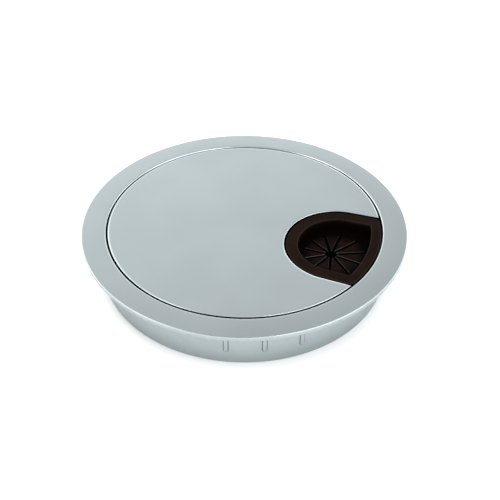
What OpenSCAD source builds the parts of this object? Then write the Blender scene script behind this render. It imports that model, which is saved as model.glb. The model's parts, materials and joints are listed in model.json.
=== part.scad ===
// Round cable outlet for a desk top. A metal ring is pressed into a round hole in the desk.
// A loose metal lid turns in the ring and lifts out of it. A notch in the lid holds a plastic
// outlet with a rubber star, whose tongues close round the cables.
//
// Origin: centre of the flange's underside, which is the surface of the desk.
// +Z is up, and the outlet lies towards +X.

/* [Desk hole] */
// Diameter of the hole in the desk
desk_hole_d = 80; // [79.8:0.1:80.4]
// Gap all round between the barrel and the hole
hole_gap = 0.3; // [0.2:0.05:0.4]

/* [Mounting ring] */
// Outer diameter of the flange
flange_d = 90; // [88:0.5:96]
// Thickness of the flange
flange_t = 2; // [1.8:0.1:2.4]
// Height that the flange's top loses towards its outer edge
flange_fall = 0.15; // [0:0.05:0.3]
// Depth of the barrel below the desk's surface
barrel_depth = 12.3; // [11:0.1:20]
// Wall thickness of the barrel
barrel_wall = 2; // [1.8:0.1:2.4]
// Diameter of the recess that the lid drops into
recess_d = 76.6; // [76.4:0.1:76.8]
// Inner diameter of the ledge under the lid
ledge_d = 73.2; // [73:0.1:73.4]
// Thickness of the ledge
ledge_t = 1.6; // [1.2:0.1:2.4]

/* [Grip ribs] */
// Groups of ribs round the barrel
rib_groups = 3; // [2:1:4]
// Ribs in a group
ribs_per_group = 3; // [1:1:4]
// Angle between the ribs of a group
rib_step = 14.3; // [10:0.1:18]
// Direction of the first group's middle rib
rib_start = -63; // [-90:0.5:90]
// Width of a rib
rib_w = 1.3; // [1:0.1:2.4]
// Height of a rib above the barrel's surface
rib_proud = 0.2; // [0.1:0.05:0.2]
// Depth of a rib's rounded lower end below the desk's surface
rib_end = 8.5; // [6:0.5:9]

/* [Lid] */
// Diameter of the lid
lid_d = 75.6; // [75.2:0.1:75.8]
// Thickness of the lid
lid_t = 1.8; // [1.6:0.1:1.9]
// Thickness of the glide ring under the lid
glide_t = 0.8; // [0.6:0.1:1]

/* [Outlet] */
// Distance of the outlet's round end from the lid's centre, to the middle of its arc
outlet_x = 27.2; // [26.8:0.1:27.4]
// Radius of the notch's round end
notch_r = 14.9; // [14.7:0.1:15.1]
// Angle at which each side of the notch opens outwards
notch_flare = 2.5; // [1:0.5:3.5]
// Gap all round between the notch and the outlet frame
frame_gap = 0.55; // [0.3:0.05:0.6]
// Depth of the frame's top face below the lid's top
frame_drop = 0.15; // [0.1:0.05:0.4]
// Radius of the mouth's round end
mouth_r = 11.1; // [10.9:0.1:11.4]
// Angle at which each side of the mouth opens outwards
mouth_flare = 1.2; // [0.5:0.1:2]
// Distance of the mouth's outer edge from the lid's centre
mouth_outer_r = 35.1; // [34.9:0.1:35.2]

/* [Rubber star] */
// Number of tongues, which is also the number of slits
petal_count = 11; // [9:2:13]
// Distance of the star's middle from the lid's centre
star_x = 25.2; // [25:0.1:25.3]
// Direction of the first tongue
petal_start = 4.5; // [-15:0.5:15]
// Distance from the star's middle to the line on which a tongue bends
root_r = 8.2; // [7.8:0.1:8.2]
// How far the ring of bending lines is shifted outwards from the star's middle
root_shift = 1; // [0:0.1:1]
// Width of the slits
slit_w = 0.75; // [0.5:0.05:0.9]
// Thickness of a tongue at its root
petal_t = 1; // [0.8:0.1:1.1]
// Depth of a tongue's tip below its root
petal_dip = 0.1; // [0.1:0.1:1.6]
// Thickness of the membrane's outer band
band_t = 1.2; // [1.1:0.1:1.4]
// Depth of the membrane's upper face below the lid's top
membrane_drop = 3.7; // [3.6:0.1:4.2]

/* [Fixings] */
// Outer diameter of the screw bosses under the lid
boss_d = 4.6; // [4.4:0.1:4.8]
// Diameter of the screws
screw_d = 2.2; // [2:0.1:2.2]
// Thickness of the retainer
retainer_t = 1.5; // [1.2:0.1:2]

/* [Hidden] */
$fn = 96;
arc_steps = 6;
end_steps = 48;
cut = 0.5;
tall = 40;

barrel_r = desk_hole_d / 2 - hole_gap;
barrel_in_r = barrel_r - barrel_wall;
flange_r = flange_d / 2;
flange_top_round = 0.35;
flange_low_round = 1;
casting_edge = 0.4;
recess_r = recess_d / 2;
recess_edge = 0.2;
ledge_r = ledge_d / 2;

lid_r = lid_d / 2;
lid_top = flange_t;
lid_low = lid_top - lid_t;
lid_edge = 0.2;
seat_z = lid_low - glide_t;
glide_in_r = ledge_r + 0.1;
glide_out_r = recess_r - 0.3;
stiffener_r = 33;
stiffener_w = 1.4;
stiffener_h = 1.2;

frame_r = notch_r - frame_gap;
frame_top = lid_top - frame_drop;
frame_corner = 1.8;
mouth_corner = 1;
inside_r = ledge_r - 0.4;
flange_grow = 1.2;
flange_corner = 2;
membrane_top = lid_top - membrane_drop;
membrane_low = membrane_top - band_t;
membrane_mid = (membrane_top + membrane_low) / 2;
membrane_grow = 0.3;
membrane_outer_r = inside_r - 0.3;
retainer_low = membrane_low - retainer_t;
retainer_slack = 0.25;

petal_angle = 360 / petal_count;
root_gap = 0.15;
tip_half = 0.08;
tip_t = 0.8;

boss_r = boss_d / 2;
boss_from_notch = 3.2;
boss_angles = [180, 100, -100];
boss_gap = 0.2;
ear_r = boss_r + boss_gap + 1.2;
screw_r = screw_d / 2;
screw_gap = 0.05;
screw_hole_r = screw_r + 0.15;
bore_roof = 1.3;
screw_past_boss = 3.1;
head_r = 2;
head_h = 1.3;
drive_w = 0.5;
drive_l = 2.2;
drive_deep = 0.7;

function two_digits(n) = n < 10 ? str("0", n) : str(n);
function petal_name(i) = str("petal_", two_digits(i + 1));

// Points on an arc about c, from angle a to angle b.
function arc(c, r, a, b, steps) =
    [for (i = [0 : steps]) let (t = a + (b - a) * i / steps) c + r * [cos(t), sin(t)]];

// Outline of everything that follows the outlet: a round inner end about [outlet_x, 0], two
// sides that open outwards by the angle flare, and an outer edge that is an arc about the
// lid's centre, with rounded corners.
function outlet_outline(end_r, flare, outer_r, corner_r) =
    let (
        side = [-sin(flare), cos(flare)],
        along = [cos(flare), sin(flare)],
        inset = side * [outlet_x, end_r] - corner_r,
        corner = inset * side + sqrt((outer_r - corner_r) ^ 2 - inset ^ 2) * along,
        turn = atan2(corner.y, corner.x)
    )
    concat(
        arc([outlet_x, 0], end_r, 270, 90, end_steps),
        arc(corner, corner_r, 90 + flare, turn, arc_steps),
        arc([0, 0], outer_r, turn, -turn, end_steps),
        arc([corner.x, -corner.y], corner_r, -turn, -90 - flare, arc_steps)
    );

// Where the screw bosses stand round the notch.
function boss_places() =
    [for (a = boss_angles) [outlet_x, 0] + (notch_r + boss_from_notch) * [cos(a), sin(a)]];

// Distance from the star's middle to the line on which a tongue at this angle bends.
function root_distance(angle) = root_r + root_shift * cos(angle);

// Outline of the hole that the tongues fill, with a small gap behind each root: every tongue
// has its own two corners, on the middles of the slits beside it.
function star_hole() =
    [for (i = [0 : petal_count - 1], side = [-0.5, 0.5])
        let (
            angle = petal_start + i * petal_angle,
            reach = (root_distance(angle) + petal_t / 2 + root_gap) / cos(petal_angle / 2),
            corner = angle + side * petal_angle
        )
        reach * [cos(corner), sin(corner)]
    ];

// Half the width of a tongue at distance u from the star's middle.
function petal_half(u) = u * tan(petal_angle / 2) - slit_w / 2 / cos(petal_angle / 2);

// Distance from the star's middle to a tongue's tip.
tip_u = (tip_half + slit_w / 2 / cos(petal_angle / 2)) / tan(petal_angle / 2);

module ring_profile() {
    low = -barrel_depth;
    edge_top = flange_t - flange_fall;
    ledge_low = seat_z - ledge_t;
    polygon(concat(
        [
            [barrel_in_r, low + casting_edge],
            [barrel_in_r + casting_edge, low],
            [barrel_r - casting_edge, low],
            [barrel_r, low + casting_edge],
            [barrel_r, 0]
        ],
        arc([flange_r - flange_low_round, flange_low_round], flange_low_round, -90, 0, arc_steps),
        arc([flange_r - flange_top_round, edge_top - flange_top_round], flange_top_round, 0, 90,
            arc_steps),
        [
            [recess_r + recess_edge, flange_t],
            [recess_r, flange_t - recess_edge],
            [recess_r, seat_z],
            [ledge_r, seat_z],
            [ledge_r, ledge_low],
            [barrel_in_r, ledge_low - (barrel_in_r - ledge_r)]
        ]
    ));
}

// A low upright rib with a rounded lower end, standing on the barrel towards +X.
module grip_rib() {
    half = rib_w / 2;
    intersection() {
        rotate([90, 0, 90])
            linear_extrude(height = barrel_r + rib_proud + cut)
                polygon(concat(
                    [[half, flange_t / 2], [-half, flange_t / 2]],
                    arc([0, half - rib_end], half, 180, 360, 2 * arc_steps)
                ));
        difference() {
            translate([0, 0, -barrel_depth])
                cylinder(r = barrel_r + rib_proud, h = barrel_depth + flange_t);
            translate([0, 0, -barrel_depth - cut])
                cylinder(r = barrel_r - barrel_wall / 4, h = barrel_depth + flange_t + 2 * cut);
        }
    }
}

module mounting_ring() {
    color("lightsteelblue") {
        rotate_extrude() ring_profile();
        for (g = [0 : rib_groups - 1], k = [0 : ribs_per_group - 1])
            rotate([0, 0, rib_start + g * 360 / rib_groups + (k - (ribs_per_group - 1) / 2) * rib_step])
                grip_rib();
    }
}

module glide_ring() {
    color("dimgray")
        translate([0, 0, seat_z])
            difference() {
                cylinder(r = glide_out_r, h = glide_t);
                translate([0, 0, -cut]) cylinder(r = glide_in_r, h = glide_t + 2 * cut);
            }
}

// The plate that the frame's flange and the retainer are cut from: the notch's outline made
// wider, with a round ear at each boss.
module flange_plate(h, grow = 0) {
    linear_extrude(height = h)
        polygon(outlet_outline(notch_r + flange_grow + grow, notch_flare, inside_r, flange_corner));
    for (p = boss_places()) translate([p.x, p.y, 0]) cylinder(r = ear_r + grow, h = h);
}

module lid_plate() {
    boss_low = membrane_low;
    color("lightsteelblue")
        difference() {
            union() {
                rotate_extrude()
                    polygon([
                        [0, lid_low],
                        [lid_r - lid_edge, lid_low],
                        [lid_r, lid_low + lid_edge],
                        [lid_r, lid_top - lid_edge],
                        [lid_r - lid_edge, lid_top],
                        [0, lid_top]
                    ]);
                for (p = boss_places())
                    translate([p.x, p.y, boss_low]) cylinder(r = boss_r, h = lid_low - boss_low + cut);
                lid_stiffener();
            }
            translate([0, 0, lid_low - cut])
                linear_extrude(height = lid_t + 2 * cut)
                    polygon(outlet_outline(notch_r, notch_flare, lid_r + 3, cut));
            for (p = boss_places())
                translate([p.x, p.y, boss_low - cut])
                    cylinder(r = screw_r + screw_gap, h = lid_top - bore_roof - boss_low + cut);
        }
}

// A low round wall under the lid, left out where the outlet is.
module lid_stiffener() {
    difference() {
        translate([0, 0, lid_low - stiffener_h])
            cylinder(r = stiffener_r + stiffener_w, h = stiffener_h + cut);
        translate([0, 0, lid_low - stiffener_h - cut])
            cylinder(r = stiffener_r, h = stiffener_h + 3 * cut);
        translate([0, 0, lid_low - stiffener_h - cut]) flange_plate(stiffener_h + 3 * cut, cut);
    }
}

module outlet_frame() {
    color("#3a2b27")
        difference() {
            union() {
                translate([0, 0, lid_low])
                    linear_extrude(height = frame_top - lid_low)
                        polygon(outlet_outline(frame_r, notch_flare, lid_r, frame_corner));
                translate([0, 0, membrane_top]) flange_plate(lid_low - membrane_top);
            }
            translate([0, 0, membrane_top - cut])
                linear_extrude(height = tall)
                    polygon(outlet_outline(mouth_r, mouth_flare, mouth_outer_r, mouth_corner));
            for (p = boss_places())
                translate([p.x, p.y, membrane_top - cut])
                    cylinder(r = boss_r + boss_gap, h = lid_low - membrane_top + 2 * cut);
        }
}

module membrane_band() {
    color("#2b2422")
        translate([0, 0, membrane_low])
            linear_extrude(height = band_t)
                difference() {
                    polygon(outlet_outline(
                        notch_r + membrane_grow, notch_flare, membrane_outer_r, mouth_corner
                    ));
                    translate([star_x, 0]) polygon(star_hole());
                }
}

module membrane_retainer() {
    color("#3a2b27")
        translate([0, 0, retainer_low])
            difference() {
                flange_plate(retainer_t);
                translate([0, 0, -cut])
                    linear_extrude(height = retainer_t + 2 * cut)
                        polygon(outlet_outline(
                            mouth_r + retainer_slack, mouth_flare, mouth_outer_r, mouth_corner
                        ));
                for (p = boss_places())
                    translate([p.x, p.y, -cut]) cylinder(r = screw_hole_r, h = retainer_t + 2 * cut);
            }
}

// A pan-head screw that points up, with its head's flat side at z = 0.
module retainer_screw() {
    difference() {
        union() {
            cylinder(r = screw_r, h = retainer_t + screw_past_boss);
            translate([0, 0, -head_h]) cylinder(r1 = head_r * 0.75, r2 = head_r, h = head_h * 0.6);
            translate([0, 0, -head_h * 0.4]) cylinder(r = head_r, h = head_h * 0.4);
        }
        for (a = [0, 90])
            rotate([0, 0, a])
                translate([-drive_l / 2, -drive_w / 2, -head_h - cut])
                    cube([drive_l, drive_w, drive_deep + cut]);
    }
}

module retainer_screws() {
    color("silver")
        for (p = boss_places()) translate([p.x, p.y, retainer_low]) retainer_screw();
}

// One tongue of the star, cut from a bar with a rounded root. The root is round about the
// line on which the tongue bends, so it stays clear of the band at every angle.
module petal(i) {
    angle = petal_start + i * petal_angle;
    root_u = root_distance(angle);
    end_u = root_u + petal_t;
    plan = [
        [tip_u, -tip_half],
        [end_u, -petal_half(end_u)],
        [end_u, petal_half(end_u)],
        [tip_u, tip_half]
    ];
    side = concat(
        [[tip_u - cut, tip_t / 2 - petal_dip], [tip_u - cut, -tip_t / 2 - petal_dip]],
        arc([root_u, 0], petal_t / 2, -90, 90, 2 * arc_steps)
    );
    color("#241f1e")
        translate([star_x, 0, membrane_mid])
            rotate([0, 0, angle])
                intersection() {
                    translate([0, 0, -tall / 2]) linear_extrude(height = tall) polygon(plan);
                    rotate([90, 0, 0])
                        translate([0, 0, -tall / 2]) linear_extrude(height = tall) polygon(side);
                }
}

mounting_ring();
glide_ring();
lid_plate();
outlet_frame();
membrane_band();
membrane_retainer();
retainer_screws();
for (i = [0 : petal_count - 1])
    petal(i);
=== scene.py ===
import json
import math

import bmesh
import bpy
import numpy as np
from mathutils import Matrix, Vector


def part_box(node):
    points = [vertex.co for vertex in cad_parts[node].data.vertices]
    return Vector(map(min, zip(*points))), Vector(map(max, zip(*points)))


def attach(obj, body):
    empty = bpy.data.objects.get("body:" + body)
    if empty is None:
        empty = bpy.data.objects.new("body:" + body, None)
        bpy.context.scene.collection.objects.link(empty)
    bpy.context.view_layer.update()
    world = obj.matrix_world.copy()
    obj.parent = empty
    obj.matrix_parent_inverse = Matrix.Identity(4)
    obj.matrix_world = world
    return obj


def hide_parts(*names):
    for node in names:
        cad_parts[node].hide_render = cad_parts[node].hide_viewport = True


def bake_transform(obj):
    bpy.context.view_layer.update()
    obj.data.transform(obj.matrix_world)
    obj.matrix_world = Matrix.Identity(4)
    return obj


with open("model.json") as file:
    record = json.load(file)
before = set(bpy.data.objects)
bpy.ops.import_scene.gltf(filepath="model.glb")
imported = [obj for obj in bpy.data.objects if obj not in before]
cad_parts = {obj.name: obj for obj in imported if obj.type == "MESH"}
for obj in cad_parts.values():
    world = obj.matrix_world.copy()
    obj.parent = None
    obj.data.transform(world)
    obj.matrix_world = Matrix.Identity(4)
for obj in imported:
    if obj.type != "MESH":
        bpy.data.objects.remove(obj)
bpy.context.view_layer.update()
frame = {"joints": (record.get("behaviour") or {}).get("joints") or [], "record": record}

# A round cable outlet for a desk top: metal ring, turning metal lid, plastic outlet and a
# rubber star. Shapes are worked out in millimetres and scaled to metres when a mesh is made.
MM = 0.001


def node_box(name):
    """Lowest and highest corner of a CAD node, in millimetres."""
    low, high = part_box(name)
    return low / MM, high / MM


def mount(name):
    """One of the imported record's mounts, by its name."""
    return next(m for m in frame["record"]["mounts"] if m["name"] == name)


# --- Sizes taken from the frame -------------------------------------------------------------

RING_LOW, RING_HIGH = node_box("mounting_ring")
LID_LOW, _ = node_box("lid_plate")
_, OUTLET_HIGH = node_box("outlet_frame")
BAND_LOW, BAND_HIGH = node_box("membrane_band")
RETAINER_LOW, RETAINER_HIGH = node_box("membrane_retainer")
GLIDE_LOW, GLIDE_HIGH = node_box("glide_ring")

FLANGE_R = RING_HIGH.x
TOP_Z = RING_HIGH.z
BARREL_END_Z = RING_LOW.z
BARREL_R = mount("barrel")["dims"]["r_mm"]
LID_R = -LID_LOW.x
LID_UNDER_Z = GLIDE_HIGH.z
SEAT_Z = GLIDE_LOW.z
RIM_Z = OUTLET_HIGH.z
BAND_TOP_Z = BAND_HIGH.z
BAND_UNDER_Z = BAND_LOW.z
BOSS_END_Z = BAND_UNDER_Z

# --- Sizes of the ring, in millimetres and degrees ------------------------------------------

BARREL_WALL = 2.0
BARREL_IN_R = BARREL_R - BARREL_WALL
# How far the flange drops towards its edge, and the power of the curve that it follows
FLANGE_FALL = 0.15
FLANGE_CROWN = 1.7
LID_GAP = 0.5
RECESS_R = LID_R + LID_GAP
LEDGE_R = 36.6
LEDGE_THICK = 1.6
LEDGE_ROUND = 0.2
FLANGE_ROUND = 0.25
FLANGE_LOW_ROUND = 1.0
NECK_ROUND = 0.25
CASTING_ROUND = 0.4
RECESS_ROUND = 0.42
RIB_GROUPS = 3
RIBS_PER_GROUP = 3
# Angle between the ribs of a group, and from X to the middle of the first group
RIB_STEP = 14.3
RIB_START = -63.0
RIB_HALF = 0.65
RIB_PROUD = 0.2
# Width over which a rib's side rises
RIB_SIDE = 0.14
RIB_END_Z = -8.5

# --- Sizes of the outlet, in millimetres and degrees ----------------------------------------

OUTLET_X = 27.2
NOTCH_R = 14.9
NOTCH_FLARE = math.radians(2.5)
FRAME_GAP = 0.55
FRAME_CORNER = 1.8
MOUTH_R = 11.1
MOUTH_FLARE = math.radians(1.2)
MOUTH_OUTER_R = 35.1
MOUTH_CORNER = 1.0
# The collar is the hidden rim of frame, star and retainer below the lid
COLLAR_GROW = 1.2
COLLAR_CORNER = 2.0
COLLAR_OUTER_R = 36.2
BOSS_R = 2.3
BOSS_FROM_NOTCH = 3.2
BOSS_ANGLES = (180.0, 100.0, -100.0)
LUG_R = 3.7
SCREW_R = 1.1

# --- Sizes of the star, in millimetres ------------------------------------------------------

STAR_X = 25.2
SLIT_W = 0.75
TIP_HALF = 0.08
# How far a tongue's tip sags, and the power of the curve that it follows
PETAL_DIP = 0.1
PETAL_DIP_POWER = 2.1
# A tongue thins evenly from its root, and is at its thinnest after 1 / PETAL_TAPER of its length
PETAL_TAPER = 1.6
PETAL_TIP_THICK = 0.8
LIP_W = 0.12
LIP_ROUND = 0.22

# --- Small distances, in millimetres --------------------------------------------------------

# Strips kept beside a rounding, so that its shading doesn't spread over the flat face
CAST_STRIP = 0.1
LID_STRIP = 0.12
RIM_STRIP = 0.15
# Room left when a mark picks out one face of a mesh by its place
MARGIN = 0.1
TOUCH = 0.02


# --- Camera ---------------------------------------------------------------------------------

# The camera's direction from the middle of the ring's top, its distance in metres, its lens in
# millimetres and the shift that puts the ring where it is in the frame
CAMERA_AZIMUTH = math.radians(19.5)
CAMERA_ELEVATION = math.radians(37.97)
CAMERA_DISTANCE = 0.2853
CAMERA_LENS = 73.9
CAMERA_SHIFT = (0.0114, -0.053)


def make_camera():
    """Looks down at the top of the ring, with the outlet at the right."""
    back = Vector((
        math.sin(CAMERA_AZIMUTH) * math.cos(CAMERA_ELEVATION),
        -math.cos(CAMERA_AZIMUTH) * math.cos(CAMERA_ELEVATION),
        math.sin(CAMERA_ELEVATION),
    ))
    data = bpy.data.cameras.new("camera")
    data.sensor_width = 36.0
    data.lens = CAMERA_LENS
    data.shift_x, data.shift_y = CAMERA_SHIFT
    data.clip_start = 0.01
    data.clip_end = 20.0
    camera = bpy.data.objects.new("camera", data)
    camera.location = Vector((0, 0, TOP_Z * MM)) + back * CAMERA_DISTANCE
    camera.rotation_mode = "QUATERNION"
    camera.rotation_quaternion = (-back).to_track_quat("-Z", "Y")
    bpy.context.scene.collection.objects.link(camera)
    bpy.context.scene.camera = camera


make_camera()


# --- Mesh helpers ---------------------------------------------------------------------------

def arc(cx, cy, r, start, end, steps):
    """Points on an arc about (cx, cy), in degrees, both ends included."""
    a = np.radians(np.linspace(start, end, steps + 1))
    return [(cx + r * math.cos(t), cy + r * math.sin(t)) for t in a]


def grid_faces(rows, cols, wrap_rows, wrap_cols):
    """Quads between the points of a grid stored row by row."""
    faces = []
    for i in range(rows if wrap_rows else rows - 1):
        for j in range(cols if wrap_cols else cols - 1):
            k, m = (i + 1) % rows, (j + 1) % cols
            faces.append((i * cols + j, i * cols + m, k * cols + m, k * cols + j))
    return faces


def loft(rows, wrap=False, cap_first=False, cap_last=False):
    """A closed surface through loops that all have the same number of points."""
    count, cols = len(rows), len(rows[0])
    verts = [tuple(p) for row in rows for p in row]
    faces = grid_faces(count, cols, wrap, True)
    if cap_first:
        faces.append(tuple(range(cols - 1, -1, -1)))
    if cap_last:
        faces.append(tuple(range((count - 1) * cols, count * cols)))
    return verts, faces


def level(loop, z):
    """A flat loop of (x, y) points at height z."""
    return [(x, y, z) for x, y in loop]


def joined(parts):
    """Several closed surfaces as one list of points and one of faces."""
    verts, faces = [], []
    for v, f in parts:
        start = len(verts)
        verts += v
        faces += [tuple(start + i for i in face) for face in f]
    return verts, faces


def make_piece(name, surface, material, sharp_angle=34.0):
    """A mesh object from points in millimetres, smooth except at real edges."""
    verts, faces = surface
    mesh = bpy.data.meshes.new(name)
    mesh.from_pydata([(x * MM, y * MM, z * MM) for x, y, z in verts], [], faces)
    mesh.validate()
    mesh.shade_smooth()
    piece = bpy.data.objects.new(name, mesh)
    bpy.context.scene.collection.objects.link(piece)
    make_outward(mesh)
    mesh.set_sharp_from_angle(angle=math.radians(sharp_angle))
    mesh.materials.append(material)
    return piece


def make_outward(mesh):
    """Turns every face's normal outwards."""
    bm = bmesh.new()
    bm.from_mesh(mesh)
    bmesh.ops.recalc_face_normals(bm, faces=bm.faces)
    bm.to_mesh(mesh)
    bm.free()


def revolve(profile, angles):
    """A closed profile of (r, z) points turned fully round Z at the given angles."""
    rows = []
    for a in angles:
        c, s = math.cos(a), math.sin(a)
        rows.append([(r * c, r * s, z) for r, z in profile])
    return loft(rows, wrap=True)


def even_angles(count):
    return [2 * math.pi * i / count for i in range(count)]


# --- Materials ------------------------------------------------------------------------------

class Nodes:
    """Short names for building one node material."""

    def __init__(self, name):
        self.material = bpy.data.materials.new(name)
        self.material.use_nodes = True
        self.tree = self.material.node_tree
        self.shader = next(n for n in self.tree.nodes if n.type == "BSDF_PRINCIPLED")
        self.place = self.add("ShaderNodeTexCoord").outputs["Object"]

    def add(self, kind, **values):
        node = self.tree.nodes.new(kind)
        for key, value in values.items():
            setattr(node, key, value)
        return node

    def link(self, source, target):
        self.tree.links.new(source, target)

    def noise(self, size_mm, detail=3.0, roughness=0.55, stretch=None):
        """Noise whose main features are about size_mm across."""
        source = self.place
        if stretch:
            mapping = self.add("ShaderNodeMapping")
            mapping.inputs["Scale"].default_value = stretch
            self.link(source, mapping.inputs["Vector"])
            source = mapping.outputs["Vector"]
        node = self.add("ShaderNodeTexNoise")
        node.inputs["Scale"].default_value = 1.0 / (size_mm * MM)
        node.inputs["Detail"].default_value = detail
        node.inputs["Roughness"].default_value = roughness
        self.link(source, node.inputs["Vector"])
        return node.outputs["Fac"]

    def ramp(self, source, low, high, out_low=0.0, out_high=1.0):
        node = self.add("ShaderNodeMapRange")
        node.interpolation_type = "SMOOTHSTEP"
        node.inputs["From Min"].default_value = low
        node.inputs["From Max"].default_value = high
        node.inputs["To Min"].default_value = out_low
        node.inputs["To Max"].default_value = out_high
        self.link(source, node.inputs["Value"])
        return node.outputs["Result"]

    def mix(self, factor, a, b, blend="MIX"):
        """Mix of two colours, each a tuple or a socket."""
        node = self.add("ShaderNodeMix", data_type="RGBA", blend_type=blend)
        self._set(node.inputs["Factor"], factor)
        self._set(node.inputs[6], a)
        self._set(node.inputs[7], b)
        return node.outputs[2]

    def maths(self, operation, a, b):
        node = self.add("ShaderNodeMath", operation=operation)
        self._set(node.inputs[0], a)
        self._set(node.inputs[1], b)
        return node.outputs[0]

    def _set(self, socket, value):
        if isinstance(value, bpy.types.NodeSocket):
            self.link(value, socket)
        elif isinstance(value, tuple):
            socket.default_value = (*value, 1.0)
        else:
            socket.default_value = value

    def height(self, *layers):
        """Bump from (noise, depth in mm) layers, the coarsest first."""
        normal = None
        for source, depth_mm in layers:
            bump = self.add("ShaderNodeBump")
            bump.inputs["Strength"].default_value = 1.0
            bump.inputs["Distance"].default_value = depth_mm * MM
            self.link(source, bump.inputs["Height"])
            if normal is not None:
                self.link(normal, bump.inputs["Normal"])
            normal = bump.outputs["Normal"]
        self.link(normal, self.shader.inputs["Normal"])

    def set(self, **values):
        for key, value in values.items():
            self._set(self.shader.inputs[key.replace("_", " ")], value)

    def attribute(self, name):
        """The "edge" mark is 1 where a piece is worn or carries a painted highlight, and the "foot" mark
        is 1 where shade is painted in.
        """
        return self.add("ShaderNodeAttribute", attribute_name=name).outputs["Fac"]


def scaled(tint, factor, lift=0.0):
    """A colour made lighter or darker."""
    return tuple(c * factor + lift for c in tint)


# Heights in mm between which the metal turns from plated to cast, below the flange's top edge,
# and the height at which the painted shade on the casting is darkest. Depths in mm of the casting's pits
# and the plating's grain.
PLATED_Z = 1.6
CAST_Z = 1.3
CAST_SHADE_DARKEST_Z = -12.5
CAST_PIT_DEPTH = 0.012
PLATED_GRAIN_DEPTH = 0.0016


def satin_metal(name, tint):
    """Plated zinc with a fine blasted grain. On the sides and below, the casting shows through, drawn
    darker than the plating and darker still towards the barrel's foot as painted shade.
    """
    n = Nodes(name)
    broad = n.noise(22.0, detail=2.0)
    cloud = n.noise(2.6, detail=4.0, roughness=0.6)
    grain = n.noise(0.16, detail=2.0)
    pits = n.noise(0.75, detail=3.0, roughness=0.65)
    hair = n.noise(0.5, detail=2.0, stretch=(0.06, 1.0, 1.0))
    height = n.add("ShaderNodeSeparateXYZ")
    n.link(n.place, height.inputs["Vector"])
    below = n.ramp(height.outputs["Z"], PLATED_Z * MM, CAST_Z * MM)
    # Painted shade: the casting is drawn darker towards the barrel's foot.
    deep = n.ramp(height.outputs["Z"], 0.0, CAST_SHADE_DARKEST_Z * MM)
    plated = n.mix(n.ramp(broad, 0.35, 0.65), scaled(tint, 0.975), scaled(tint, 1.02))
    casting = n.mix(deep, scaled(tint, 0.89), scaled(tint, 0.75))
    colour = n.mix(below, plated, casting)
    mottle = n.maths("MULTIPLY", n.ramp(cloud, 0.42, 0.68), below)
    colour = n.mix(n.maths("MULTIPLY", mottle, 0.5), colour, scaled(tint, 0.78))
    # Painted shade, almost black, where the "foot" mark is set.
    colour = n.mix(n.attribute("foot"), colour, scaled(tint, 0.03))
    # Wear and a painted highlight, drawn lighter, where the "edge" mark is set.
    colour = n.mix(n.maths("MULTIPLY", n.attribute("edge"), 0.8), colour, scaled(tint, 1.5))
    n.set(Base_Color=colour, Metallic=1.0)
    rough = n.ramp(hair, 0.3, 0.7, 0.28, 0.33)
    rough = n.maths("ADD", rough, n.maths("MULTIPLY", mottle, 0.10))
    rough = n.maths("SUBTRACT", rough, n.maths("MULTIPLY", n.attribute("edge"), 0.06))
    n.set(Roughness=rough)
    cast = n.maths("MULTIPLY", n.ramp(pits, 0.35, 0.7), below)
    n.height((cast, CAST_PIT_DEPTH), (grain, PLATED_GRAIN_DEPTH))
    return n.material


def moulded_plastic(name, tint, grain_mm, grain_depth, rough_low, rough_high, gloss):
    """Dark moulded plastic with a spark-eroded grain, drawn lighter on its edges as polish and as a
    painted highlight, and darker where shade is painted in.
    """
    n = Nodes(name)
    cloud = n.noise(5.0, detail=3.0)
    grain = n.noise(grain_mm, detail=2.0, roughness=0.6)
    lint = n.noise(0.9, detail=5.0, roughness=0.7)
    colour = n.mix(n.ramp(cloud, 0.35, 0.65), scaled(tint, 0.84), scaled(tint, 1.16))
    colour = n.mix(n.ramp(lint, 0.60, 0.8, 0.0, 0.4), colour, scaled(tint, 1.9))
    # Painted shade where the "foot" mark is set.
    colour = n.mix(n.attribute("foot"), colour, scaled(tint, 0.25))
    # Polish and a painted highlight where the "edge" mark is set.
    polished_and_highlit = scaled(tint, 1.4, lift=0.014)
    colour = n.mix(n.maths("MULTIPLY", n.attribute("edge"), 0.6), colour, polished_and_highlit)
    n.set(Base_Color=colour, Metallic=0.0, Specular_IOR_Level=gloss)
    rough = n.ramp(n.noise(1.8, detail=3.0), 0.3, 0.7, rough_low, rough_high)
    rough = n.maths("SUBTRACT", rough, n.maths("MULTIPLY", n.attribute("edge"), 0.14))
    n.set(Roughness=rough)
    n.height((grain, grain_depth))
    return n.material


def soft_rubber(name, tint, wear_and_highlight, gloss):
    """Matt rubber with a faint bloom and a fine moulded grain, darker where shade is painted in, and
    greyer and glossier along the edges, the grey being wear and a painted highlight.
    """
    n = Nodes(name)
    bloom = n.noise(2.2, detail=4.0, roughness=0.65)
    grain = n.noise(0.14, detail=2.0)
    colour = n.mix(n.ramp(bloom, 0.35, 0.7), tint, scaled(tint, 1.5))
    # Painted shade where the "foot" mark is set: down the slits, at the tongues' roots and over the
    # band.
    colour = n.mix(n.attribute("foot"), colour, scaled(tint, 0.06))
    # Wear and a grey painted highlight along the edges.
    colour = n.mix(n.attribute("edge"), colour, wear_and_highlight)
    n.set(Base_Color=colour, Metallic=0.0)
    n.set(Specular_IOR_Level=n.maths("ADD", n.maths("MULTIPLY", n.attribute("edge"), 0.9), gloss))
    rough = n.ramp(n.noise(1.1, detail=3.0), 0.3, 0.7, 0.38, 0.50)
    n.set(Roughness=n.maths("SUBTRACT", rough, n.maths("MULTIPLY", n.attribute("edge"), 0.26)))
    n.height((n.noise(1.4, detail=2.0), 0.006), (grain, 0.002))
    return n.material


def plated_steel(name, tint):
    """Zinc-plated screw steel, blotched and slightly rough."""
    n = Nodes(name)
    blotch = n.noise(0.6, detail=4.0, roughness=0.7)
    colour = n.mix(n.ramp(blotch, 0.35, 0.7), scaled(tint, 0.8), tint)
    n.set(Base_Color=colour, Metallic=1.0)
    n.set(Roughness=n.ramp(blotch, 0.3, 0.7, 0.24, 0.42))
    n.height((n.noise(0.08, detail=2.0), 0.001))
    return n.material


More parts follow.
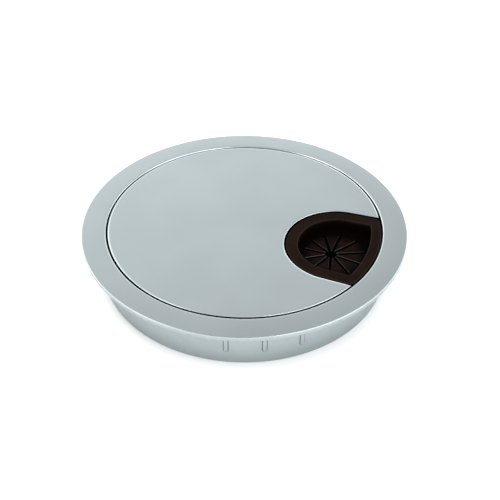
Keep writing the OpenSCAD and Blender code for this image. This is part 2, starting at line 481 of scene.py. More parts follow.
LID_METAL = satin_metal("lid_metal", tint=(0.474, 0.534, 0.549))
RING_METAL = satin_metal("ring_metal", tint=(0.455, 0.511, 0.524))
OUTLET_PLASTIC = moulded_plastic(
    "outlet_plastic", tint=(0.0112, 0.0056, 0.0038),
    grain_mm=0.22, grain_depth=0.006, rough_low=0.44, rough_high=0.56, gloss=0.015,
)
GLIDE_PLASTIC = moulded_plastic(
    "glide_plastic", tint=(0.030, 0.030, 0.032),
    grain_mm=0.30, grain_depth=0.003, rough_low=0.38, rough_high=0.50, gloss=0.3,
)
RUBBER = soft_rubber(
    "star_rubber", tint=(0.0086, 0.0042, 0.0030), wear_and_highlight=(0.030, 0.026, 0.025), gloss=0.01,
)
SCREW_STEEL = plated_steel("screw_steel", tint=(0.62, 0.62, 0.60))


def mark(piece, test, name="edge"):
    """Stores an amount from 0 to 1 at each point. test takes (x, y, z) in mm."""
    layer = piece.data.attributes.new(name, "FLOAT", "POINT")
    values = [float(test(*(v.co / MM))) for v in piece.data.vertices]
    layer.data.foreach_set("value", np.array(values, np.float32))


def place(piece, body, slot, *nodes):
    """Puts a finished piece on its body, in the stead of CAD nodes."""
    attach(piece, body)
    if nodes:
        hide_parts(*nodes)


# --- Mounting ring --------------------------------------------------------------------------

# Heights of the points up the barrel's wall: coarse steps, and fine ones round the ribs' ends
WALL_STEP = 1.0
RIB_ROW_STEP = 0.1
RIB_ROWS = 16
RIB_ROWS_BELOW_END = 2
# Even steps round the ring, and how far they keep from a rib's middle, in degrees
RING_STEP = 1.25
RIB_CLEAR = 1.9
# Fine steps across a rib: how far they reach to each side, in mm, and their number
RIB_REACH = 1.12
RIB_COLUMNS = 29
# Depth in the recess from which its wall is dark, and the distance over which it gets so
RECESS_SHADE = 0.6
RECESS_SHADE_FADE = 0.5
# Amount of painted shade along a rib's outline, its place there and how far it spreads
RIB_SHADE = 0.62
RIB_SHADE_PLACE = 0.02
RIB_SHADE_SPREAD = 0.35
# How much wear and painted highlight the flange's outer edge has, where the recess's edge has 1
OUTER_WEAR_AND_HIGHLIGHT = 0.3


def rib_angles():
    """The direction of each rib's middle, in degrees."""
    middle = (RIBS_PER_GROUP - 1) / 2
    return [
        RIB_START + g * 360.0 / RIB_GROUPS + (k - middle) * RIB_STEP
        for g in range(RIB_GROUPS)
        for k in range(RIBS_PER_GROUP)
    ]


def ring_profile():
    """The ring's section, anticlockwise from the barrel's inner foot."""
    foot, c = BARREL_END_Z + CASTING_ROUND, CASTING_ROUND
    below_ribs = [RIB_END_Z - WALL_STEP * i for i in (3, 2, 1)]
    rib_rows = [RIB_END_Z + RIB_ROW_STEP * (i - RIB_ROWS_BELOW_END) for i in range(RIB_ROWS)]
    above_rows = [-WALL_STEP * i for i in (6, 5, 4, 3, 2, 1)]
    ledge_under = SEAT_Z - LEDGE_THICK
    edge_top = TOP_Z - FLANGE_FALL
    inner, outer = RECESS_R + RECESS_ROUND + RIM_STRIP, FLANGE_R - FLANGE_ROUND
    low_edge = FLANGE_R - FLANGE_LOW_ROUND
    points = arc(BARREL_IN_R + c, foot, c, 180, 270, 6)
    points += arc(BARREL_R - c, foot, c, 270, 360, 6)
    points += [(BARREL_R, z) for z in [foot + CAST_STRIP] + below_ribs + rib_rows + above_rows]
    points += arc(BARREL_R + NECK_ROUND, -NECK_ROUND, NECK_ROUND, 180, 90, 4)
    points += [(BARREL_R + NECK_ROUND + CAST_STRIP, 0.0), (low_edge - CAST_STRIP, 0.0)]
    points += arc(low_edge, FLANGE_LOW_ROUND, FLANGE_LOW_ROUND, -90, 0, 8)
    points += arc(outer, edge_top - FLANGE_ROUND, FLANGE_ROUND, 0, 88, 8)
    points += [
        (inner + (outer - inner) * t, TOP_Z - FLANGE_FALL * t ** FLANGE_CROWN)
        for t in np.linspace(0.97, 0.0, 9)
    ]
    points += arc(RECESS_R + RECESS_ROUND, TOP_Z - RECESS_ROUND, RECESS_ROUND, 90, 180, 6)
    points += [(RECESS_R, TOP_Z - RECESS_SHADE * t) for t in (1.0, 1.5, 2.0)]
    points += [(RECESS_R, SEAT_Z), (LEDGE_R + LEDGE_ROUND + CAST_STRIP, SEAT_Z)]
    points += arc(LEDGE_R + LEDGE_ROUND, SEAT_Z - LEDGE_ROUND, LEDGE_ROUND, 90, 180, 4)
    points += [(LEDGE_R, ledge_under), (BARREL_IN_R, ledge_under - (BARREL_IN_R - LEDGE_R))]
    points += [(BARREL_IN_R, above_rows[0]), (BARREL_IN_R, foot + CAST_STRIP)]
    return points


def turn_between(a, b):
    """The turn from b to a, from -180 to 180 degrees."""
    return (a - b + 180.0) % 360.0 - 180.0


def into_rib(angle, z):
    """Distance in mm from a rib's outline to this place on the barrel, positive inside it."""
    past_end = max(0.0, RIB_END_Z + RIB_HALF - z)
    nearest = min(abs(turn_between(math.degrees(angle), a)) for a in rib_angles())
    return RIB_HALF - math.hypot(math.radians(nearest) * BARREL_R, past_end)


def rib_height(angle, z):
    """How far a rib stands out of the barrel at this place."""
    ramp = min(1.0, max(0.0, into_rib(angle, z) / RIB_SIDE))
    return RIB_PROUD * ramp * ramp * (3 - 2 * ramp)


def ring_painted_shade(x, y, z):
    """Painted shade: 1 low in the recess and in the corner at the foot of a rib, fading to each side."""
    r = math.hypot(x, y)
    if SEAT_Z - MARGIN < z < TOP_Z - RECESS_ROUND - MARGIN and r < RECESS_R + MARGIN:
        return min(1.0, max(0.0, (TOP_Z - RECESS_SHADE - z) / RECESS_SHADE_FADE))
    if z > -MARGIN / 2 or r < BARREL_R - TOUCH:
        return 0.0
    off_outline = abs(into_rib(math.atan2(y, x), z) - RIB_SHADE_PLACE)
    return max(0.0, RIB_SHADE - off_outline / RIB_SHADE_SPREAD)


def ring_angles():
    """Even steps round the ring, with fine steps across each rib."""
    degrees = set(np.round(np.arange(0.0, 360.0, RING_STEP), 4))
    fine = np.degrees(np.linspace(-RIB_REACH, RIB_REACH, RIB_COLUMNS) / BARREL_R)
    for a in rib_angles():
        near = {d for d in degrees if abs(turn_between(d, a)) < RIB_CLEAR}
        degrees = (degrees - near) | set(np.round((a + fine) % 360.0, 4))
    return [math.radians(d) for d in sorted(degrees)]


def make_ring():
    profile = ring_profile()
    wall = {i for i, (r, z) in enumerate(profile) if math.isclose(r, BARREL_R) and z < 0}
    rows = []
    for a in ring_angles():
        row = []
        for i, (r, z) in enumerate(profile):
            if i in wall:
                r += rib_height(a, z)
            row.append((r * math.cos(a), r * math.sin(a), z))
        rows.append(row)
    piece = make_piece("mounting_ring_casting", loft(rows, wrap=True), RING_METAL)

    def wear_and_highlight(x, y, z):
        r = math.hypot(x, y)
        outer = r > FLANGE_R - FLANGE_ROUND + TOUCH and z > TOP_Z - FLANGE_FALL - FLANGE_ROUND
        inner = r < RECESS_R + RECESS_ROUND - TOUCH and z > TOP_Z - RECESS_ROUND
        return OUTER_WEAR_AND_HIGHLIGHT if outer else 1.0 if inner else 0.0

    # Wear and a painted highlight on the flange's edges, and painted shade in the recess and round the
    # ribs.
    mark(piece, wear_and_highlight)
    mark(piece, ring_painted_shade, "foot")
    place(piece, "ring", "cast_metal", "mounting_ring")


# --- Glide ring -----------------------------------------------------------------------------

GLIDE_GAP_IN = 0.1
GLIDE_GAP_OUT = 0.3
GLIDE_ROUND = 0.12
GLIDE_TURNS = 240


def make_glide_ring():
    inner, outer = LEDGE_R + GLIDE_GAP_IN, RECESS_R - GLIDE_GAP_OUT
    low, high, c = SEAT_Z, LID_UNDER_Z, GLIDE_ROUND
    profile = arc(inner + c, low + c, c, 180, 270, 3) + arc(outer - c, low + c, c, 270, 360, 3)
    profile += arc(outer - c, high - c, c, 0, 90, 3) + arc(inner + c, high - c, c, 90, 180, 3)
    piece = make_piece("glide_ring_strip", revolve(profile, even_angles(GLIDE_TURNS)), GLIDE_PLASTIC)
    mark(piece, lambda x, y, z: z > high - MARGIN / 2)
    place(piece, "glide", "glide_plastic", "glide_ring")


# --- Outlines that follow the outlet --------------------------------------------------------

SIDE_POINTS = 9


def side_line(end_r, flare):
    """The outlet's upper side as (unit normal, unit direction, distance along the normal)."""
    normal = np.array((-math.sin(flare), math.cos(flare)))
    along = np.array((math.cos(flare), math.sin(flare)))
    return normal, along, normal @ (OUTLET_X, 0.0) + end_r


def outlet_loop(end_r, flare, outer_r, corner_r):
    """Round inner end, two sides that open outwards and an outer arc about the lid's centre."""
    normal, along, offset = side_line(end_r, flare)
    offset -= corner_r
    corner = offset * normal + math.sqrt((outer_r - corner_r) ** 2 - offset ** 2) * along
    f, turn = math.degrees(flare), math.degrees(math.atan2(corner[1], corner[0]))
    start = np.array((OUTLET_X, 0.0)) + end_r * normal
    finish = corner + corner_r * normal
    side = [tuple(start + (finish - start) * t) for t in np.linspace(0, 1, SIDE_POINTS)[1:-1]]
    loop = arc(OUTLET_X, 0, end_r, 270 - f, 90 + f, 64) + side
    loop += arc(corner[0], corner[1], corner_r, 90 + f, turn, 8)
    loop += arc(0, 0, outer_r, turn, -turn, 40)[1:-1]
    loop += arc(corner[0], -corner[1], corner_r, -turn, -90 - f, 8)
    return loop + [(x, -y) for x, y in reversed(side)]


def frame_loop(inset):
    """The frame's outline in the lid's notch."""
    return outlet_loop(NOTCH_R - FRAME_GAP - inset, NOTCH_FLARE, LID_R - inset, FRAME_CORNER - inset)


def mouth_loop(grow):
    """The outline of the frame's mouth."""
    return outlet_loop(MOUTH_R + grow, MOUTH_FLARE, MOUTH_OUTER_R + grow, MOUTH_CORNER + grow)


def collar_loop(inset):
    """The outline of the hidden collar below the lid."""
    end_r = NOTCH_R + COLLAR_GROW - inset
    return outlet_loop(end_r, NOTCH_FLARE, COLLAR_OUTER_R - inset, COLLAR_CORNER - inset)


def lid_loop(inset):
    """The lid's outline: the notch, then the rest of the round edge."""
    normal, along, offset = side_line(NOTCH_R + inset, NOTCH_FLARE)
    radius = LID_R - inset
    tip = offset * normal + math.sqrt(radius ** 2 - offset ** 2) * along
    f, turn = math.degrees(NOTCH_FLARE), math.degrees(math.atan2(tip[1], tip[0]))
    start = np.array((OUTLET_X, 0.0)) + (NOTCH_R + inset) * normal
    side = [tuple(start + (tip - start) * t) for t in np.linspace(0, 1, SIDE_POINTS)[1:]]
    loop = arc(OUTLET_X, 0, NOTCH_R + inset, 270 - f, 90 + f, 72) + side
    loop += arc(0, 0, radius, turn, 360 - turn, 288)[1:-1]
    return loop + [(x, -y) for x, y in reversed(side)]


def edge_rows(loop_of, face_z, wide, deep, steps):
    """Rows round an edge, from an upright wall to the level face at face_z.

    loop_of gives the outline at a distance from the wall, and wide is how far the edge reaches
    from it. The wall begins deep below the face, or above it where deep is negative.
    """
    return [
        level(loop_of(wide * (1 - math.cos(t))), face_z - deep * (1 - math.sin(t)))
        for t in np.radians(np.linspace(0, 90, steps + 1))
    ]


# --- Lid ------------------------------------------------------------------------------------

LID_FOOT_ROUND = 0.2
LID_EDGE_WIDE = 0.6
LID_EDGE_DEEP = 0.2
STIFFENER_R = 33.0
STIFFENER_W = 1.4
STIFFENER_H = 1.2
STIFFENER_ROUND = 0.3
# Angle in degrees from X to each end of the stiffener
STIFFENER_START = 41.0
STIFFENER_ROWS = 220
BOSS_ROUND = 0.2
BOSS_FILLET = 0.5
BORE_GAP = 0.05
# How far bosses and stiffener reach into the lid, so that they are one with it
BOSS_SUNK = 0.2
STIFFENER_SUNK = 0.1
LATHE_TURNS = 48


def boss_places():
    """The middle of each screw boss, on a circle about the outlet's round end."""
    reach = NOTCH_R + BOSS_FROM_NOTCH
    return [
        (OUTLET_X + reach * math.cos(math.radians(a)), reach * math.sin(math.radians(a)))
        for a in BOSS_ANGLES
    ]


def lathe_at(x, y, profile):
    """A closed (r, z) profile turned about an upright axis through (x, y)."""
    verts, faces = revolve(profile, even_angles(LATHE_TURNS))
    return [(x + p[0], y + p[1], p[2]) for p in verts], faces


def boss_profile():
    """A screw boss with a blind bore, set a little into the lid."""
    inside, c, f = SCREW_R + BORE_GAP, BOSS_ROUND, BOSS_FILLET
    top = LID_UNDER_Z + BOSS_SUNK
    points = [(inside, LID_UNDER_Z + BOSS_SUNK / 2)]
    points += arc(inside + c, BOSS_END_Z + c, c, 180, 270, 3)
    points += arc(BOSS_R - c, BOSS_END_Z + c, c, 270, 360, 3)
    points += arc(BOSS_R + f, LID_UNDER_Z - f, f, 180, 90, 4)
    return points + [(BOSS_R + f, top), (inside, top)]


def stiffener():
    """A low round wall under the lid that stops each side of the outlet."""
    inner, outer = STIFFENER_R, STIFFENER_R + STIFFENER_W
    low, top, c = LID_UNDER_Z - STIFFENER_H, LID_UNDER_Z + STIFFENER_SUNK, STIFFENER_ROUND
    section = [(inner, top)] + arc(inner + c, low + c, c, 180, 270, 4)
    section += arc(outer - c, low + c, c, 270, 360, 4) + [(outer, top)]
    rows = []
    for a in np.radians(np.linspace(STIFFENER_START, 360 - STIFFENER_START, STIFFENER_ROWS)):
        rows.append([(r * math.cos(a), r * math.sin(a), z) for r, z in section])
    return loft(rows, cap_first=True, cap_last=True)


def lid_rows():
    """Loops up the lid's side: a round foot, and a wide, low rounding at the top."""
    rows = [level(lid_loop(LID_FOOT_ROUND + LID_STRIP), LID_UNDER_Z)]
    rows += edge_rows(lid_loop, LID_UNDER_Z, LID_FOOT_ROUND, -LID_FOOT_ROUND, 8)[::-1]
    rows += edge_rows(lid_loop, TOP_Z, LID_EDGE_WIDE, LID_EDGE_DEEP, 8)
    return rows + [level(lid_loop(LID_EDGE_WIDE + LID_STRIP), TOP_Z)]


def make_lid():
    plate = loft(lid_rows(), cap_first=True, cap_last=True)
    piece = make_piece("lid_cover", plate, LID_METAL)
    edge_low = TOP_Z - LID_EDGE_DEEP
    # Wear and a painted highlight on the top edge's rounding, and painted shade on the side below it,
    # seen in the gap.
    mark(piece, lambda x, y, z: edge_low < z < TOP_Z - 0.02 * LID_EDGE_DEEP)
    mark(piece, lambda x, y, z: LID_UNDER_Z + MARGIN < z < edge_low + TOUCH, "foot")
    place(piece, "lid", "cast_metal", "lid_plate")

    bosses = [lathe_at(x, y, boss_profile()) for x, y in boss_places()]
    under = make_piece("lid_bosses_and_stiffener", joined(bosses + [stiffener()]), LID_METAL)
    mark(under, lambda x, y, z: z < LID_UNDER_Z - STIFFENER_H + MARGIN)
    place(under, "lid", "cast_metal")


# --- Outlet frame ---------------------------------------------------------------------------

RIM_ROUND = 0.3
MOUTH_ROUND = 0.35
COLLAR_ROUND = 0.2
WALL_DRAFT = 0.12
# Depths below the rim's top between which its edges carry polish and a painted highlight
POLISH_AND_HIGHLIGHT_FROM = 0.01
POLISH_AND_HIGHLIGHT_TO = 0.25
# Depth below the mouth's edge over which the throat gets dark
THROAT_FADE = 0.8
LUG_ROUND = 0.2
# Clearances of the frame's lugs from the lid above, the star below and the boss inside
LUG_GAP_ABOVE = 0.05
LUG_GAP_BELOW = 0.1
BOSS_GAP = 0.2


def outlet_rows():
    """Loops round the frame's section: rim wall, top, mouth, underside, collar."""
    throat_top = RIM_Z - MOUTH_ROUND
    rows = [level(frame_loop(0.0), LID_UNDER_Z)]
    rows += edge_rows(frame_loop, RIM_Z, RIM_ROUND, RIM_ROUND, 5)
    rows.append(level(frame_loop(RIM_ROUND + RIM_STRIP), RIM_Z))
    rows.append(level(mouth_loop(MOUTH_ROUND + RIM_STRIP), RIM_Z))
    rows += edge_rows(mouth_loop, RIM_Z, MOUTH_ROUND, MOUTH_ROUND, 6)[::-1]
    for t in (0.2, 0.45, 1.0):
        height = throat_top + (BAND_TOP_Z - throat_top) * t
        rows.append(level(mouth_loop(-WALL_DRAFT * t), height))
    rows += edge_rows(collar_loop, BAND_TOP_Z, COLLAR_ROUND, -COLLAR_ROUND, 3)[::-1]
    return rows + [level(collar_loop(0.0), LID_UNDER_Z)]


def lug_profile(low, high, hole_r):
    """A round screw lug with softened edges."""
    c = LUG_ROUND
    points = [(hole_r, high), (hole_r, low)]
    points += arc(LUG_R - c, low + c, c, 270, 360, 3) + arc(LUG_R - c, high - c, c, 0, 90, 3)
    return points


def make_outlet_frame():
    piece = make_piece("outlet_surround", loft(outlet_rows(), wrap=True), OUTLET_PLASTIC)
    throat_top = RIM_Z - MOUTH_ROUND
    # Polish and a painted highlight on the rim's edges, and painted shade down the throat.
    mark(piece, lambda x, y, z: RIM_Z - POLISH_AND_HIGHLIGHT_TO < z < RIM_Z - POLISH_AND_HIGHLIGHT_FROM)
    mark(piece, lambda x, y, z: min(1.0, max(0.0, (throat_top - z) / THROAT_FADE)), "foot")
    place(piece, "lid", "outlet_plastic", "outlet_frame")

    profile = lug_profile(BAND_TOP_Z + LUG_GAP_BELOW, LID_UNDER_Z - LUG_GAP_ABOVE, BOSS_R + BOSS_GAP)
    lugs = [lathe_at(x, y, profile) for x, y in boss_places()]
    piece = make_piece("outlet_lugs", joined(lugs), OUTLET_PLASTIC)
    place(piece, "lid", "outlet_plastic")


# --- Retainer and screws --------------------------------------------------------------------

RETAINER_ROUND = 0.25
# How far the retainer's opening stands back from the frame's mouth
RETAINER_WIDER = 0.25
# Height of the lugs' underside above the retainer's, and the lugs' clearance round the screws
RETAINER_LUG_STEP = 0.08
SCREW_GAP = 0.15


def retainer_mouth_loop(grow):
    """The outline of the retainer's opening."""
    return mouth_loop(RETAINER_WIDER + grow)


def retainer_rows():
    """Loops round the retainer's section: top, outer wall, underside, opening."""
    low, high, c = RETAINER_LOW.z, RETAINER_HIGH.z, RETAINER_ROUND
    rows = [level(collar_loop(c + RIM_STRIP), high), level(collar_loop(0.0), high)]
    rows.append(level(collar_loop(0.0), low + c + CAST_STRIP))
    rows += edge_rows(collar_loop, low, c, -c, 4)
    rows.append(level(collar_loop(c + RIM_STRIP), low))
    rows.append(level(retainer_mouth_loop(c + 2 * CAST_STRIP), low))
    rows += edge_rows(retainer_mouth_loop, low, c, -c, 4)[::-1]
    return rows + [level(retainer_mouth_loop(0.0), high)]


def make_retainer():
    low, high = RETAINER_LOW.z, RETAINER_HIGH.z
    piece = make_piece("retainer_plate", loft(retainer_rows(), wrap=True), OUTLET_PLASTIC)
    mark(piece, lambda x, y, z: low + TOUCH < z < low + 0.8 * RETAINER_ROUND)
    place(piece, "lid", "outlet_plastic", "membrane_retainer")

    profile = lug_profile(low + RETAINER_LUG_STEP, high - LUG_GAP_ABOVE, SCREW_R + SCREW_GAP)
    lugs = [lathe_at(x, y, profile) for x, y in boss_places()]
    piece = make_piece("retainer_lugs", joined(lugs), OUTLET_PLASTIC)
    place(piece, "lid", "outlet_plastic")


SHANK_LENGTH = 4.6
SHANK_POINT = 0.35
HEAD_R = 2.0
HEAD_H = 1.3
HEAD_ROUND = 0.3
HEAD_SEAT_R = 1.9
DOME_R = 1.72
DOME_RISE = 0.32
DRIVE_HALF_W = 0.25
DRIVE_HALF_L = 1.1
DRIVE_DEEP = 0.7
# The recess's sloping side is this wide, and starts this far outside its outline
DRIVE_SIDE = 0.08
DRIVE_OUTSIDE = 0.06
SCREW_TURNS = 96
# The turned surface ends this close to its axis, and a small flat face closes it there
PINHOLE_R = 0.02


def drive_depth(x, y):
    """Depth of the cross recess at (x, y) from the screw's axis."""
    depth = 0.0
    for u, v in ((abs(x), abs(y)), (abs(y), abs(x))):
        room = min(DRIVE_HALF_W - v, DRIVE_HALF_L - u) + DRIVE_OUTSIDE
        depth = max(depth, DRIVE_DEEP * min(1.0, max(0.0, room / DRIVE_SIDE)))
    return depth


def screw_at(x, y, head_z):
    """A pan-head screw pointing up: a shank, and a domed head with a cross recess."""
    tip_z = head_z + SHANK_LENGTH
    profile = [(PINHOLE_R, tip_z), (SCREW_R - SHANK_POINT, tip_z), (SCREW_R, tip_z - SHANK_POINT)]
    profile += [(SCREW_R, head_z), (HEAD_SEAT_R, head_z)]
    profile += arc(HEAD_R - HEAD_ROUND, head_z - HEAD_ROUND, HEAD_ROUND, 80, -30, 6)
    dome = [
        (r, head_z - HEAD_H + DOME_RISE * (r / HEAD_R) ** 2)
        for r in np.linspace(DOME_R, 1.5 * PINHOLE_R, 30)
    ]
    verts = []
    for a in even_angles(SCREW_TURNS):
        c, s = math.cos(a), math.sin(a)
        verts += [(x + r * c, y + r * s, z) for r, z in profile]
        verts += [(x + r * c, y + r * s, z + drive_depth(r * c, r * s)) for r, z in dome]
    cols = len(profile) + len(dome)
    faces = grid_faces(SCREW_TURNS, cols, True, False)
    faces.append(tuple(i * cols for i in range(SCREW_TURNS)))
    faces.append(tuple(i * cols + cols - 1 for i in range(SCREW_TURNS)))
    return verts, faces


def make_screws():
    screws = [screw_at(x, y, RETAINER_LOW.z) for x, y in boss_places()]
    piece = make_piece("pan_head_screws", joined(screws), SCREW_STEEL, sharp_angle=40.0)
    place(piece, "lid", "screw_steel", "retainer_screws")


# --- Rubber star ----------------------------------------------------------------------------

STAR_MIDDLE = np.array((STAR_X, 0.0))
# How far the band's outline stands out of the notch, and inside the collar's outer arc
BAND_GROW = 0.3
BAND_INSET = 0.3
BAND_SHADE = 0.8
# Shade at a tongue's root, and the distance from there over which it fades
ROOT_SHADE = 0.8
ROOT_SHADE_LENGTH = 2.2


def petals():
    """Each tongue's body, root point in mm and direction from the star's middle."""
    found = []
    for j in frame["joints"]:
        if j["child"].startswith("petal_"):
            direction = np.array((-j["axis"][1], j["axis"][0]))
            root = np.array(j["pos_m"][:2]) / MM
            found.append((j["child"], root, direction))
    return found


PETALS = petals()
PETAL_ANGLE = 2 * math.pi / len(PETALS)


def ray_reach(loop, centre, angle):
    """Distance from centre to the loop in one direction."""
    d = np.array((math.cos(angle), math.sin(angle)))
    n = np.array((-d[1], d[0]))
    points = np.array(loop) - centre
    reach = 0.0
    for p, q in zip(points, np.roll(points, -1, axis=0)):
        a, b = p @ n, q @ n
        if (a <= 0) != (b <= 0):
            hit = p + (q - p) * a / (a - b)
            reach = max(reach, hit @ d)
    return reach


def make_band():
    """The membrane's fixed outer part, open where the tongues begin."""
    outer = outlet_loop(NOTCH_R + BAND_GROW, NOTCH_FLARE, COLLAR_OUTER_R - BAND_INSET, MOUTH_CORNER)
    outer_loop, inner_loop = [], []
    # Just under a whole share of the turn, so that neighbours' end points don't coincide
    share = 0.9999 * PETAL_ANGLE
    for _, root, u in PETALS:
        for turn in np.linspace(-0.5, 0.5, 25) * share:
            a = math.atan2(u[1], u[0]) + turn
            d = np.array((math.cos(a), math.sin(a)))
            inner_loop.append(tuple(STAR_MIDDLE + (root - STAR_MIDDLE) @ u / math.cos(turn) * d))
            outer_loop.append(tuple(STAR_MIDDLE + ray_reach(outer, STAR_MIDDLE, a) * d))
    rows = [
        level(inner_loop, BAND_UNDER_Z), level(inner_loop, BAND_TOP_Z),
        level(outer_loop, BAND_TOP_Z), level(outer_loop, BAND_UNDER_Z),
    ]
    piece = make_piece("star_band", loft(rows, wrap=True), RUBBER)
    mark(piece, lambda x, y, z: BAND_SHADE, "foot")
    place(piece, "lid", "star_rubber", "membrane_band")


def petal_section(half, thick, corner):
    """Rounded-rectangle section as (across, height) points, with points along its long sides."""
    c = min(corner, 0.95 * half, 0.48 * thick)
    w, h = half - c, thick / 2 - c
    points = []
    for cx, cy, start in ((w, h, 0), (-w, h, 90), (-w, -h, 180), (w, -h, 270)):
        points += arc(cx, cy, c, start, start + 90, 5)
        if cy > 0 > cx or cy < 0 < cx:
            continue
        sign = 1 if cy > 0 else -1
        points += [(sign * w * t, sign * thick / 2) for t in (0.6, 0.2, -0.2, -0.6)]
    return points


PETAL_Z = (BAND_TOP_Z + BAND_UNDER_Z) / 2
PETAL_ROOT_THICK = BAND_TOP_Z - BAND_UNDER_Z
PETAL_SLOPE = math.tan(PETAL_ANGLE / 2)
PETAL_GAP = SLIT_W / 2 / math.cos(PETAL_ANGLE / 2)
PETAL_TIP_U = (TIP_HALF + PETAL_GAP) / PETAL_SLOPE
# The upper edge's mark ends just above the lowest points of its rounding
LIP_DEPTH = LIP_ROUND - 0.03


def petal_half(u):
    """Half a tongue's width at the distance u from the star's middle."""
    return u * PETAL_SLOPE - PETAL_GAP


def petal_level(s):
    """A tongue's thickness and the height of its middle, s of the way from root to tip."""
    thin = min(1.0, s * PETAL_TAPER)
    thick = PETAL_ROOT_THICK + (PETAL_TIP_THICK - PETAL_ROOT_THICK) * thin
    return thick, PETAL_Z - PETAL_DIP * s ** PETAL_DIP_POWER


def make_petal(body, root, direction):
    across = np.array((-direction[1], direction[0]))
    root_u = (root - STAR_MIDDLE) @ direction
    length = root_u - PETAL_TIP_U
    rows = []
    for s in np.linspace(0.0, 1.0, 31):
        u = root_u - s * length
        thick, z = petal_level(s)
        rows.append([
            (*(STAR_MIDDLE + direction * u + across * v), z + h)
            for v, h in petal_section(petal_half(u), thick, LIP_ROUND)
        ])
    surface = loft(rows, cap_first=True, cap_last=True)
    piece = make_piece("tongue_" + body[-2:], surface, RUBBER, sharp_angle=50.0)

    def in_tongue(x, y, z):
        """Distance in mm below the tongue's upper face, in from its side, and from its root."""
        p = np.array((x, y)) - STAR_MIDDLE
        u = p @ direction
        thick, middle_z = petal_level(min(1.0, max(0.0, (root_u - u) / length)))
        return middle_z + thick / 2 - z, petal_half(u) - abs(p @ across), root_u - u

    def lip(x, y, z):
        """1 on the rounded upper edge along each slit, where a grey painted highlight goes."""
        deep, side, _ = in_tongue(x, y, z)
        return max(0.0, 1 - side / LIP_W) if deep < LIP_DEPTH else 0.0

    def shaded(x, y, z):
        """1 down the sides of the slits, and on the upper face a shade at the root."""
        deep, _, from_root = in_tongue(x, y, z)
        near_root = min(1.0, max(0.0, 1 - from_root / ROOT_SHADE_LENGTH))
        return 1.0 if deep > LIP_DEPTH else ROOT_SHADE * near_root

    # A grey painted highlight along the lips, and painted shade down the slits and at the root.
    mark(piece, lip)
    mark(piece, shaded, "foot")
    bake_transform(piece)
    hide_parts(body)


# --- Stage ----------------------------------------------------------------------------------

FLOOR_GAP = 0.02
FLOOR_HALF = 3000.0
FLOOR_GLOW = 0.36
# The glow rises over this width outside the barrel, and the floor is dark this far inside it
GLOW_RISE = 3.0
COVERED_INSIDE = 1.0
# The shade's middle, its fade outside and inside the barrel's radius, and how much it takes
# from the paper's colour and from the glow
SHADE_X, SHADE_Y = 1.4, -2.3
SHADE_OUT, SHADE_IN = 2.5, 1.5
SHADE_ON_PAPER = 0.16
SHADE_ON_GLOW = 0.5
SHADE_GREY = (0.30, 0.30, 0.30)
# Painted shade under the object
COVERED_GREY = (0.02, 0.02, 0.02)


def make_floor():
    """A pale floor with a painted glow that lifts its shadows, painted shade where the object covers it,
    and a faint painted shadow at its near right.
    """
    floor_z = BARREL_END_Z - FLOOR_GAP
    n = Nodes("floor_paper")
    length = n.add("ShaderNodeVectorMath", operation="LENGTH")
    n.link(n.place, length.inputs[0])
    from_axis = length.outputs["Value"]
    covered = n.ramp(from_axis, BARREL_R * MM, (BARREL_IN_R - COVERED_INSIDE) * MM)
    paper = n.mix(n.ramp(n.noise(60.0), 0.3, 0.7), (0.90, 0.90, 0.90), (0.92, 0.92, 0.92))
    distance = n.add("ShaderNodeVectorMath", operation="DISTANCE")
    n.link(n.place, distance.inputs[0])
    distance.inputs[1].default_value = (SHADE_X * MM, SHADE_Y * MM, floor_z * MM)
    shade = n.ramp(distance.outputs["Value"], (BARREL_R + SHADE_OUT) * MM, (BARREL_R - SHADE_IN) * MM)
    paper = n.mix(n.maths("MULTIPLY", shade, SHADE_ON_PAPER), paper, SHADE_GREY)
    n.set(Base_Color=n.mix(covered, paper, COVERED_GREY))
    lit = n.ramp(from_axis, BARREL_R * MM, (BARREL_R + GLOW_RISE) * MM, 0.0, FLOOR_GLOW)
    unshaded = n.maths("SUBTRACT", 1.0, n.maths("MULTIPLY", shade, SHADE_ON_GLOW))
    lit = n.maths("MULTIPLY", lit, unshaded)
    n.set(Roughness=0.9, Emission_Color=(1.0, 1.0, 1.0), Emission_Strength=lit)
    half, z = FLOOR_HALF * MM, floor_z * MM
    corners = [(half * x, half * y, z) for x, y in ((-1, -1), (1, -1), (1, 1), (-1, 1))]
    mesh = bpy.data.meshes.new("floor")
    mesh.from_pydata(corners, [], [(0, 1, 2, 3)])
    floor = bpy.data.objects.new("floor", mesh)
    floor.data.materials.append(n.material)
    bpy.context.scene.collection.objects.link(floor)


# The studio's plain light, and its other parts: brightness, tint, the azimuth and elevation of
# the middle, and the angles from there at which the part starts and is full. Later ones cover
# earlier ones: three darker fields, three low bright ones and two soft boxes.
STUDIO_PLAIN = (1.30, 1.31, 1.31)
STUDIO = [
    (0.68, (1.0, 1.01, 1.03), (0.0, 90.0, 62.0, 25.0)),
    (0.64, (1.0, 1.0, 1.0), (66.0, 52.0, 40.0, 10.0)),
    (0.55, (1.0, 1.0, 1.0), (-70.5, 42.0, 60.0, 14.0)),
    (2.2, (1.0, 1.0, 1.0), (96.0, 0.0, 24.0, 8.0)),
    (2.6, (1.0, 0.98, 0.92), (172.0, 8.0, 34.0, 8.0)),
    (2.6, (0.91, 0.98, 1.06), (45.0, 8.0, 30.0, 8.0)),
    (3.6, (1.0, 1.0, 0.98), (-141.0, 40.0, 22.0, 10.0)),
    (3.6, (0.97, 1.0, 1.03), (0.0, 40.0, 22.0, 10.0)),
]


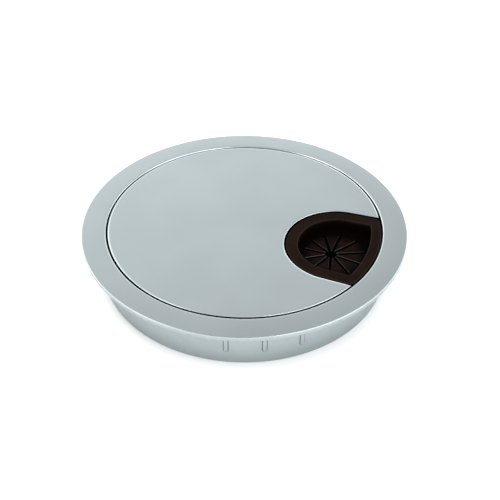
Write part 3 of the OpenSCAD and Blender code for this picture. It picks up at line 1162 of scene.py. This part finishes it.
def make_world():
    """A pale studio: bright low down, darker overhead, darkest behind the camera."""
    world = bpy.data.worlds.new("studio")
    bpy.context.scene.world = world
    world.use_nodes = True
    tree = world.node_tree
    back = next(n for n in tree.nodes if n.type == "BACKGROUND")
    direction = tree.nodes.new("ShaderNodeTexCoord").outputs["Generated"]

    def lobe(azimuth, elevation, start, end):
        """0 outside a cone about a direction, rising to 1 at its middle."""
        a, e = math.radians(azimuth), math.radians(elevation)
        dot = tree.nodes.new("ShaderNodeVectorMath")
        dot.operation = "DOT_PRODUCT"
        dot.inputs[1].default_value = (math.cos(a) * math.cos(e), math.sin(a) * math.cos(e), math.sin(e))
        tree.links.new(direction, dot.inputs[0])
        spread = tree.nodes.new("ShaderNodeMapRange")
        spread.interpolation_type = "SMOOTHSTEP"
        spread.inputs["From Min"].default_value = math.cos(math.radians(start))
        spread.inputs["From Max"].default_value = math.cos(math.radians(end))
        tree.links.new(dot.outputs["Value"], spread.inputs["Value"])
        return spread.outputs["Result"]

    plain = tree.nodes.new("ShaderNodeRGB")
    plain.outputs[0].default_value = (*STUDIO_PLAIN, 1.0)
    colour = plain.outputs[0]
    for amount, tint, cone in STUDIO:
        mix = tree.nodes.new("ShaderNodeMix")
        mix.data_type = "RGBA"
        tree.links.new(lobe(*cone), mix.inputs["Factor"])
        tree.links.new(colour, mix.inputs[6])
        mix.inputs[7].default_value = (*scaled(tint, amount), 1.0)
        colour = mix.outputs[2]
    tree.links.new(colour, back.inputs["Color"])
    back.inputs["Strength"].default_value = 1.0


# Place and size of the key light, in metres, and its power in watts
KEY_PLACE = Vector((0.55, -0.45, 0.65))
KEY_SIZE = 0.35
KEY_POWER = 2.0


def make_key_light():
    """A square soft box above and to the right of the camera, aimed at the object."""
    data = bpy.data.lights.new("key_softbox", "AREA")
    data.shape = "SQUARE"
    data.size = KEY_SIZE
    data.energy = KEY_POWER
    light = bpy.data.objects.new("key_softbox", data)
    light.location = KEY_PLACE
    light.rotation_mode = "QUATERNION"
    light.rotation_quaternion = (-KEY_PLACE).to_track_quat("-Z", "Y")
    bpy.context.scene.collection.objects.link(light)


make_ring()
make_glide_ring()
make_lid()
make_outlet_frame()
make_retainer()
make_screws()
make_band()
for petal in PETALS:
    make_petal(*petal)
make_floor()
make_world()
make_key_light()
bpy.context.scene.view_settings.view_transform = "Standard"
